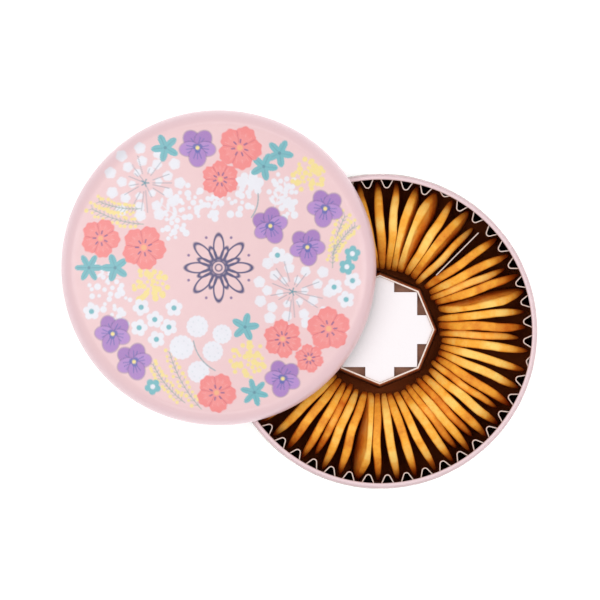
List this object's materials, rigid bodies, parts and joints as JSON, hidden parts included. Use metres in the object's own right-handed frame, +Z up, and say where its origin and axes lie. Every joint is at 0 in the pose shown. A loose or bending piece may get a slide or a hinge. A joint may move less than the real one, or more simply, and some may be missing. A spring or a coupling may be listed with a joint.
{
  "type": "round lithographed biscuit tin",
  "caption": "Shallow round printed tin with its lid off and lying partly over it, holding a ring of upright biscuits in a corrugated liner.",
  "frame": {"origin": "centre of the base's underside, on the plane that the bottom seam stands on", "axes": "+Z up along the base's axis; the lid lies off to -X and a little to +Y"},
  "size_m": [0.2723, 0.2165, 0.078],
  "materials": {
    "printed_lid": "satin lithographed print, pale pink with a flower wreath",
    "printed_wall": "satin lithographed print, plain pale pink",
    "tinplate": "plain bright tinplate",
    "brown_card": "matt chocolate brown card with pale cut edges",
    "white_card": "matt white card",
    "biscuit": "matt golden baked crumb"
  },
  "bodies": {
    "base": {"base_body": "printed_wall", "base_bottom": "tinplate", "biscuit_01": "biscuit", "biscuit_02": "biscuit", "biscuit_03": "biscuit", "biscuit_04": "biscuit", "biscuit_05": "biscuit", "biscuit_06": "biscuit", "biscuit_07": "biscuit", "biscuit_08": "biscuit", "biscuit_09": "biscuit", "biscuit_10": "biscuit", "biscuit_11": "biscuit", "biscuit_12": "biscuit", "biscuit_13": "biscuit", "biscuit_14": "biscuit", "biscuit_15": "biscuit", "biscuit_16": "biscuit", "biscuit_17": "biscuit", "biscuit_18": "biscuit", "biscuit_19": "biscuit", "biscuit_20": "biscuit", "biscuit_21": "biscuit", "biscuit_22": "biscuit", "biscuit_23": "biscuit", "biscuit_24": "biscuit", "biscuit_25": "biscuit", "biscuit_26": "biscuit", "biscuit_27": "biscuit", "biscuit_28": "biscuit", "biscuit_29": "biscuit", "biscuit_30": "biscuit", "biscuit_31": "biscuit", "biscuit_32": "biscuit", "biscuit_33": "biscuit", "biscuit_34": "biscuit", "biscuit_35": "biscuit", "biscuit_36": "biscuit", "biscuit_37": "biscuit", "card_insert": "white_card", "center_core": "brown_card", "core_shelf": "brown_card", "corrugated_liner": "brown_card", "covered_biscuits_1": "biscuit", "covered_biscuits_2": "biscuit", "covered_biscuits_3": "biscuit", "covered_biscuits_4": "biscuit", "covered_biscuits_5": "biscuit", "covered_biscuits_6": "biscuit", "floor_card": "brown_card"},
    "lid": {"lid": "printed_lid"},
    "divider": {"divider_card": "brown_card"}
  },
  "joints": [
    {"name": "lid_lift", "type": "slide", "parent": "base", "child": "lid", "axis": [0, 0, 1], "range_m": [0, 0.1]},
    {"name": "divider_lift", "type": "slide", "parent": "base", "child": "divider", "axis": [0, 0, 1], "range_m": [0, 0.06]}
  ]
}
